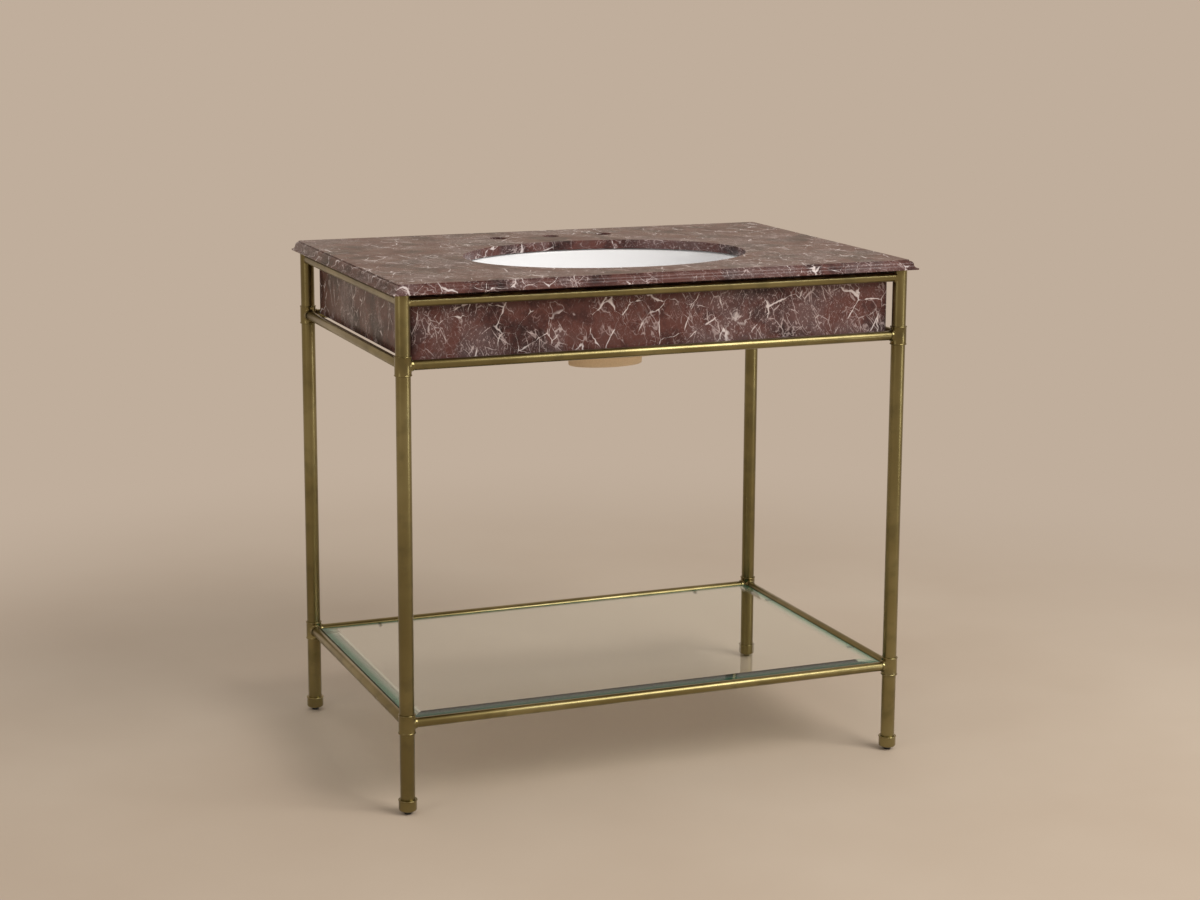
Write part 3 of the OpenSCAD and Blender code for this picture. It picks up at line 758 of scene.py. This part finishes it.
# %% [markdown]
# ## The marble top
# The slab has an ogee on its front and sides: a small step, a roll, a hollow and a square fillet.
# Its back edge is plain, because it isn't meant to be seen. The outline of the plan is drawn once
# as a loop and extruded up the moulding; each point moves in by its own direction, so the mitres
# and the eased corners stay true. The oval and the tap holes get polished arrises.

# %% Draw the plan of the slab
half_w, half_d = (top_high.x - top_low.x) / 2, (top_high.y - top_low.y) / 2
slab_t = top_high.z - top_low.z
CORNER_R = 2.5 * MM


def plan_loop(bm, z):
    """The outline as vertices, and for each the direction in which the moulding sets it in."""
    verts, inward = [], []
    for sx, sy, start in ((1, -1, -90), (1, 1, 0), (-1, 1, 90), (-1, -1, 180)):
        mid = (sx * (half_w - CORNER_R), sy * (half_d - CORNER_R))
        for x, y in arc(mid, CORNER_R, start, start + 90, 6):
            verts.append(bm.verts.new((x, y, z)))
            inward.append(Vector((-sx, -sy if sy < 0 else 0, 0)))
    edges = [bm.edges.new((a, b)) for a, b in zip(verts, verts[1:] + verts[:1])]
    return verts, edges, inward


# %% Draw the moulding
STEP_H, STEP_IN = 2.0 * MM, 0.5 * MM
ROLL_R, COVE_R, LEDGE_IN = 5.5 * MM, 6.0 * MM, 0.4 * MM
ARRIS, NOSE = 0.35 * MM, 0.25 * MM
fillet_h = slab_t - STEP_H - ROLL_R - COVE_R
edge_in = LEDGE_IN + COVE_R + ROLL_R + STEP_IN


def moulding():
    """(how far in, height) up the edge, from the underside to the top face."""
    return (arc((ARRIS, ARRIS), ARRIS, 270, 180, 3)
            + arc((NOSE, fillet_h - NOSE), NOSE, 180, 90, 2)
            + arc((LEDGE_IN, fillet_h + COVE_R), COVE_R, 270, 360, 10)
            + arc((edge_in - STEP_IN, slab_t - STEP_H - ROLL_R), ROLL_R, 180, 90, 10)
            + [(edge_in, slab_t - STEP_H)]
            + arc((edge_in + ARRIS, slab_t - ARRIS), ARRIS, 180, 90, 3))


print("moulding points", len(moulding()), "reaches in", round(edge_in, 4))

# %% Helpers that extrude rings


def match_ring(old, edges):
    """The vertices of a freshly extruded ring, in the order of the ring they came from."""
    fresh = {vert for edge in edges for vert in edge.verts}
    return [next(e.other_vert(vert) for e in vert.link_edges if e.other_vert(vert) in fresh)
            for vert in old]


def extrude_ring(bm, ring, edges):
    """Extrudes a ring. Gives the new ring's vertices, in the old order, and its edges."""
    made = bmesh.ops.extrude_edge_only(bm, edges=edges)["geom"]
    edges = [g for g in made if isinstance(g, bmesh.types.BMEdge)]
    return match_ring(ring, edges), edges


def well(bm, mid, rx, ry, low, high, arris, segments):
    """Wall of an oval hole, with an eased arris at both faces. Gives its upper and lower edges."""
    rings = [(arris, high)] + arc((arris, high - arris), arris, 90, 180, 3)[1:]
    rings += arc((arris, low + arris), arris, 180, 270, 3)
    ring = bmesh.ops.create_circle(bm, cap_ends=False, radius=1.0, segments=segments)["verts"]
    unit = [vert.co.copy() for vert in ring]
    edges = upper = list({edge for vert in ring for edge in vert.link_edges})
    for step, (out, z) in enumerate(rings):
        if step:
            ring, edges = extrude_ring(bm, ring, edges)
        for vert, way in zip(ring, unit):
            vert.co = (mid[0] + (rx + out) * way.x, mid[1] + (ry + out) * way.y, z)
    return upper, edges


# %% Make the slab
slab_z = top_low.z
OVAL_X, OVAL_Y, OVAL_ARRIS = 248 * MM, 185 * MM, 0.9 * MM
OVAL_MID = (0.0, -42 * MM)
TAP_R, TAP_PITCH, TAP_Y, TAP_ARRIS = 15 * MM, 101.6 * MM, 223 * MM, 0.5 * MM
bm = bmesh.new()
ring, edges, inward = plan_loop(bm, slab_z)
plan = [vert.co.copy() for vert in ring]
under_edges = edges
for step, (inset, height) in enumerate(moulding()):
    if step:
        ring, edges = extrude_ring(bm, ring, edges)
    for vert, spot, way in zip(ring, plan, inward):
        vert.co = spot + way * inset + Vector((0, 0, height))
top_edges = edges
wells = [(OVAL_MID, OVAL_X, OVAL_Y, OVAL_ARRIS, 160)]
wells += [((i * TAP_PITCH, TAP_Y), TAP_R, TAP_R, TAP_ARRIS, 56) for i in (-1, 0, 1)]
for mid, rx, ry, arris, segments in wells:
    upper, lower = well(bm, mid, rx, ry, slab_z, slab_z + slab_t, arris, segments)
    top_edges, under_edges = top_edges + upper, under_edges + lower
for edge in top_edges + under_edges:
    edge.smooth = False
for face_edges in (top_edges, under_edges):
    bmesh.ops.triangle_fill(bm, use_beauty=True, use_dissolve=False, edges=face_edges)
finish_piece("marble_slab", bm, top_marble, ["marble_top"])

# %% [markdown]
# ## The marble apron
# Three panels hang under the slab behind the upper rails. Each is a sawn block with polished
# faces and narrow arrises, and the front panel's upright corners are well rounded. A block with
# bevelled edges is exactly how the mason makes them.

# %% Helpers that saw and ease blocks


def block(low, high):
    """A box between two corners."""
    bm = bmesh.new()
    bmesh.ops.create_cube(bm, size=1.0)
    bmesh.ops.scale(bm, vec=high - low, verts=bm.verts)
    bmesh.ops.translate(bm, vec=(low + high) / 2, verts=bm.verts)
    return bm


def ease(bm, edges, width, segments=3):
    """Rounds edges over to a width."""
    bmesh.ops.bevel(bm, geom=edges, offset=width, offset_type="OFFSET", segments=segments, profile=0.5,
                    affect="EDGES", material=-1)


def edges_sharper_than(bm, degrees):
    """The edges at which two faces turn by more than an angle."""
    return [e for e in bm.edges if e.calc_face_angle(0.0) > math.radians(degrees)]


# %% Make the apron panels
PANEL_ROUND, PANEL_ARRIS, PANEL_FLAT = 10 * MM, 0.8 * MM, 800 * MM ** 2
SAME = 0.001 * MM
for side in ("front", "left", "right"):
    low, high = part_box("apron_" + side)
    bm = block(low, high)
    if side == "front":
        corners = [e for e in bm.edges if all(abs(v.co.y - low.y) < SAME for v in e.verts)
                   and abs(e.verts[0].co.x - e.verts[1].co.x) < SAME]
        ease(bm, corners, PANEL_ROUND, 12)
    ease(bm, edges_sharper_than(bm, 60), PANEL_ARRIS)
    crisp_round_flats(bm, PANEL_FLAT)
    finish_piece("apron_panel_" + side, bm, apron_marble, ["apron_" + side])

# %% [markdown]
# ## The basin
# The undermount basin is slip-cast china: an oval bowl with a flat rim, a round outlet with a
# sunk seat for the waste, and a flat boss under it. One section is spun round, and then its depth
# is narrowed from the outlet, which stays round, to the mouth, which is an oval.

# %% Draw the basin's section
RIM_T, WALL, BOWL_DEPTH = 12 * MM, 9 * MM, 144 * MM
FLOOR_R, BOWL_POWER = 52 * MM, 2.5
OUTLET_R, SEAT_R, SEAT_EDGE_R, SEAT_H = 22.5 * MM, 33 * MM, 38 * MM, 3 * MM
BOSS_R, BOSS_RATIO, BOSS_H = 66 * MM, 80 / 132, 20 * MM
LIP_R, BOSS_EDGE, RIM_FILLET, HOLE_EASE = 3 * MM, 2.5 * MM, 5 * MM, 1 * MM
mouth_r = OVAL_X + 2 * MM
rim_r = (basin_high.x - basin_low.x) / 2


def bowl_curve(radius, depth, steps=26):
    """Points from the mouth down a bowl that is fuller than an ellipse."""
    points = []
    for i in range(steps + 1):
        a = math.radians(90 * i / steps)
        r = FLOOR_R + (radius - FLOOR_R) * max(math.cos(a), 0.0) ** (2 / BOWL_POWER)
        points.append((r, -depth * math.sin(a) ** (2 / BOWL_POWER)))
    return points


def basin_section():
    """Closed section, from the mouth down the inside and back up the outside to the rim."""
    inside = arc((mouth_r + LIP_R, -LIP_R), LIP_R, 90, 180, 5) + bowl_curve(mouth_r, BOWL_DEPTH)[2:]
    seat = [(SEAT_EDGE_R, -BOWL_DEPTH - 0.3 * MM), (SEAT_R + 1.2 * MM, -BOWL_DEPTH - 0.8 * MM),
            (SEAT_R, -BOWL_DEPTH - 1.8 * MM), (SEAT_R - 0.6 * MM, -BOWL_DEPTH - SEAT_H)]
    under_z = -(BOWL_DEPTH + WALL)
    boss_z = under_z - BOSS_H
    hole = [(OUTLET_R + HOLE_EASE, -BOWL_DEPTH - SEAT_H), (OUTLET_R, -BOWL_DEPTH - SEAT_H - HOLE_EASE),
            (OUTLET_R, boss_z + HOLE_EASE), (OUTLET_R + HOLE_EASE, boss_z)]
    boss = arc((BOSS_R - BOSS_EDGE, boss_z + BOSS_EDGE), BOSS_EDGE, -90, 0, 6)
    boss += arc((BOSS_R + LIP_R, under_z - LIP_R), LIP_R, 180, 90, 4)
    outside = [(r, z) for r, z in reversed(bowl_curve(mouth_r + WALL, BOWL_DEPTH + WALL))
               if r > BOSS_R + 6 * MM and z < -RIM_T - 4 * MM]
    root = outside[-1][0]
    under = arc((root + RIM_FILLET, -RIM_T - RIM_FILLET), RIM_FILLET, 180, 90, 5)
    return inside + seat + hole + boss + outside + under + rounded_side(rim_r, -RIM_T, 0, LIP_R, 5)


# %% Make the basin
OVAL_FROM_R = 90 * MM
mouth_ratio = OVAL_Y / OVAL_X
rim_ratio = (basin_high.y - basin_low.y) / (basin_high.x - basin_low.x)


def eased(value, low, high):
    """The share of the way from low to high, with a soft start and end."""
    share = share_of(value, low, high)
    return share * share * (3 - 2 * share)


def narrow(co):
    """Round at the outlet, oval at the boss and the mouth, and a little rounder at the rim."""
    r = math.hypot(co.x, co.y)
    if co.z < -(BOWL_DEPTH + WALL) + SAME:
        ratio = 1 + eased(r, SEAT_R, BOSS_R - 3 * MM) * (BOSS_RATIO - 1)
    else:
        oval = mouth_ratio + (rim_ratio - mouth_ratio) * share_of(r, mouth_r, rim_r)
        ratio = 1 + eased(r, SEAT_EDGE_R, OVAL_FROM_R) * (oval - 1)
    return Vector((co.x, co.y * ratio, co.z))


bm = bmesh.new()
spin_section(bm, basin_section(), Matrix.Translation((basin_at.x, OVAL_MID[1], basin_high.z)),
             steps=144, shape=narrow)
bowl = finish_piece("basin_bowl", bm, glaze, ["basin"], sharp=50)

# %% Leave its outside unglazed
# A point is bare where the surface faces away from the bowl's middle and a little down.
DOWNWARD, BARE_FROM = -0.15, 0.2
bare = bowl.data.attributes.new("unglazed", "FLOAT", "POINT")
for vert in bowl.data.vertices:
    outward = Vector((vert.co.x - basin_at.x, vert.co.y - OVAL_MID[1], DOWNWARD)).normalized()
    bare.data[vert.index].value = 1.0 if vert.normal.dot(outward) > BARE_FROM else 0.0
print("unglazed points", sum(item.value > 0.5 for item in bare.data), "of", len(bare.data))

# %% Make the bead of sealant
seal_size, seal_z = extent("basin_seal"), middle("basin_seal").z
seal_r, seal_half = seal_size.x / 2, seal_size.z / 2
bead = arc((seal_r - seal_half, 0), seal_half, -90, 90, 6)
bead += arc((mouth_r + seal_half, 0), seal_half, 90, 270, 6)
bm = bmesh.new()
spin_section(bm, bead, Matrix.Translation((0, OVAL_MID[1], seal_z)), steps=120,
             shape=lambda co: Vector((co.x, co.y * seal_size.y / seal_size.x, co.z)))
finish_piece("seal_bead", bm, silicone, ["basin_seal"])

# %% [markdown]
# ## The glass shelf
# A sheet of float glass with a wide bevel on all four sides rests on pegs inside the shelf rails.
# The four bevels meet in mitres, and the corners are cut off to clear the collars. A block whose
# top is set in gives the mitres, four bisecting cuts take the corners, and thin arrises finish it.

# %% Make the glass sheet
BEVEL_W, BEVEL_DROP, CLIP = 25 * MM, 3 * MM, 5 * MM
GLASS_ARRIS, GLASS_FLAT = 0.5 * MM, 20 * MM ** 2
bm = block(glass_low, Vector((glass_high.x, glass_high.y, glass_high.z - BEVEL_DROP)))
upper = [f for f in bm.faces if f.normal.z > 0.9]
bmesh.ops.inset_region(bm, faces=upper, thickness=BEVEL_W, use_even_offset=True)
bmesh.ops.translate(bm, vec=(0, 0, BEVEL_DROP), verts=[v for f in upper for v in f.verts])
for sx, sy in CORNERS.values():
    outer = Vector((glass_low.x if sx < 0 else glass_high.x, glass_low.y if sy < 0 else glass_high.y, 0))
    cut = bmesh.ops.bisect_plane(bm, geom=bm.verts[:] + bm.edges[:] + bm.faces[:], dist=1e-7,
                                 plane_co=outer - Vector((sx * CLIP, 0, 0)), plane_no=(sx, sy, 0),
                                 clear_outer=True)
    bmesh.ops.edgeloop_fill(bm, edges=[g for g in cut["geom_cut"] if isinstance(g, bmesh.types.BMEdge)])
bmesh.ops.recalc_face_normals(bm, faces=bm.faces)
ease(bm, edges_sharper_than(bm, 30), GLASS_ARRIS)
crisp_round_flats(bm, GLASS_FLAT)
sheet = finish_piece("shelf_sheet", bm, shelf_glass, ["glass_shelf"], sharp=40)

# %% Paint the green of light through the edge on its edges and bevels
# The painted green, which stands in for light that has crossed the sheet lengthways, is full on the ground
# edges, and fades over a bevel to where the clear face begins.
# How strong the painted green of light through the edge is at the edge, and how much it fades across a
# bevel.
PAINTED_GREEN_AT_EDGE, PAINTED_GREEN_FADES_BY = 0.90, 0.82
STEEP, LEVEL = 0.9, 0.9999
rim = sheet.data.attributes.new("rim", "FLOAT", "CORNER")
for face in sheet.data.polygons:
    slope = abs(face.normal.z)     # 1 for a level face
    for index in face.loop_indices:
        spot = sheet.data.vertices[sheet.data.loops[index].vertex_index].co
        inset = min(spot.x - glass_low.x, glass_high.x - spot.x, spot.y - glass_low.y, glass_high.y - spot.y)
        if slope < STEEP:
            rim.data[index].value = 1.0
        elif slope < LEVEL:
            rim.data[index].value = PAINTED_GREEN_AT_EDGE - PAINTED_GREEN_FADES_BY * min(inset / BEVEL_W, 1.0)
print("tinted corners of the edges and bevels", sum(item.value > 0 for item in rim.data))

# %% [markdown]
# ## Pegs and sleeves
# Eight brass pegs stand in the shelf rails, each with a clear silicone sleeve, so that the glass
# doesn't rest on metal. The pegs get domed ends and the sleeves rounded lips.

# %% Place the pegs
PEG_END = 120 * MM
peg_z, leg_x = middle("shelf_pegs").z, leg_at["front_right"].x
front_y, back_y = leg_at["front_left"].y, leg_at["back_left"].y
mid_y, half_y = (front_y + back_y) / 2, (back_y - front_y) / 2 - PEG_END
pegs_at = []
for side in (-1, 1):
    pegs_at += [((side * (leg_x - PEG_END), y, peg_z), (0, -end, 0))
                for end, y in ((-1, front_y), (1, back_y))]
    pegs_at += [((side * leg_x, mid_y + end * half_y, peg_z), (-side, 0, 0)) for end in (-1, 1)]
print("pegs", len(pegs_at))

# %% Make the pegs and their sleeves
PEG_REACH, PEG_R, DOME_R, SLEEVE_WALL = 20 * MM, 2.5 * MM, 1 * MM, 1.0 * MM
peg = [(0, rail_r / 2), (PEG_R, rail_r / 2)]
peg += arc((PEG_R - DOME_R, PEG_REACH - DOME_R), DOME_R, 0, 90, 4) + [(0, PEG_REACH)]
sleeve_bore = PEG_R + CLEARANCE
sleeve = tube_section(sleeve_bore + SLEEVE_WALL, sleeve_bore, PEG_REACH / 2, PEG_REACH, SLEEVE_WALL / 2, 4)
peg_bm, sleeve_bm = bmesh.new(), bmesh.new()
for at, axis in pegs_at:
    place = facing(axis, at)
    spin_section(peg_bm, peg, place, steps=32, closed=False)
    spin_section(sleeve_bm, sleeve, place, steps=40)
finish_piece("pegs", peg_bm, brass, ["shelf_pegs"])
finish_piece("sleeves", sleeve_bm, silicone, ["peg_sleeves"])

# %% [markdown]
# ## Floor, light and background
# A pale floor carries the shadow, and fades into the background a few metres out, so that no
# horizon shows. What the camera, the metal and the glass see of the world is that background.
# What lights the object is a plain pale world and three soft lamps: the strong one high at the
# right and in front, a small low one beside it that draws upright lights on the tubes, and a
# weak one at the left, because the photograph's left side is the darker one.

# %% Make the background and the floor
BACKDROP = (*srgb(192, 174, 156), 1)
FLOOR_REACH, FADE_FROM, FADE_TO = 40.0, 0.8, 2.3


def seen_directly(tree):
    """1 for rays from the camera and for those reflected or refracted by the object."""
    path = add(tree, "LightPath")
    seen = calc(tree, "MAXIMUM", path.outputs["Is Camera Ray"], path.outputs["Is Glossy Ray"])
    return calc(tree, "MAXIMUM", seen, path.outputs["Is Transmission Ray"])


bm = bmesh.new()
bmesh.ops.create_grid(bm, x_segments=1, y_segments=1, size=FLOOR_REACH)
mesh = bpy.data.meshes.new("floor")
bm.to_mesh(mesh)
bm.free()
floor = bpy.data.objects.new("floor", mesh)
scene.collection.objects.link(floor)
floor_material, tree, shader = new_material("floor_paint")
place = add(tree, "TexCoord").outputs["Object"]
tone = noise(tree, place, 400 * MM).outputs["Fac"]
paint = ramp(tree, tone, (0.3, srgb(193, 174, 154)), (0.7, srgb(203, 186, 167)))
tree.links.new(paint, shader.inputs["Base Color"])
shader.inputs["Roughness"].default_value = 0.8
shader.inputs["Specular IOR Level"].default_value = 0.2
glow = add(tree, "Emission", Color=BACKDROP, Strength=1.0)
distance = add(tree, "VectorMath", {"operation": "LENGTH"}, _0=place).outputs["Value"]
far = both(tree, mask(tree, distance, FADE_FROM, FADE_TO), seen_directly(tree))
blend = add(tree, "MixShader", _0=far, _1=shader.outputs[0], _2=glow.outputs[0])
tree.links.new(blend.outputs[0], tree.nodes["Material Output"].inputs["Surface"])
floor.data.materials.append(floor_material)
print("floor", floor.name)

# %% Make the daylight
DAYLIGHT, DAYLIGHT_STRENGTH = (1.0, 0.97, 0.93, 1), 0.56
world = bpy.data.worlds.new("studio")
scene.world = world
world.use_nodes = True
tree = world.node_tree
light = tree.nodes["Background"]
light.inputs["Color"].default_value = DAYLIGHT
light.inputs["Strength"].default_value = DAYLIGHT_STRENGTH
shown = add(tree, "Background", Color=BACKDROP, Strength=1.0)
blend = add(tree, "MixShader", _0=seen_directly(tree), _1=light.outputs[0], _2=shown.outputs[0])
tree.links.new(blend.outputs[0], tree.nodes["World Output"].inputs["Surface"])
print("world", world.name, "strength", DAYLIGHT_STRENGTH)

# %% Place the lamps
LAMP_AIM, LAMP_COLOUR = (0, 0, 0.5), (1.0, 0.98, 0.95)
# Where each lamp stands, how wide and high it is in metres, and its power in watts.
LAMPS = {"key_right": ((2.2, -3.2, 3.5), (2.8, 2.4), 145),
         "low_right": ((2.94, -2.47, 0.5), (1.1, 0.9), 8),
         "fill_left": ((-2.6, -1.2, 1.8), (0.8, 1.8), 5)}
for name, (place, size, power) in LAMPS.items():
    data = bpy.data.lights.new(name, "AREA")
    data.shape = "RECTANGLE"
    data.size, data.size_y = size
    data.energy, data.color = power, LAMP_COLOUR
    lamp = bpy.data.objects.new(name, data)
    scene.collection.objects.link(lamp)
    lamp.location = place
    lamp.rotation_euler = (Vector(LAMP_AIM) - Vector(place)).to_track_quat("-Z", "Y").to_euler()
print("lamps", list(LAMPS))
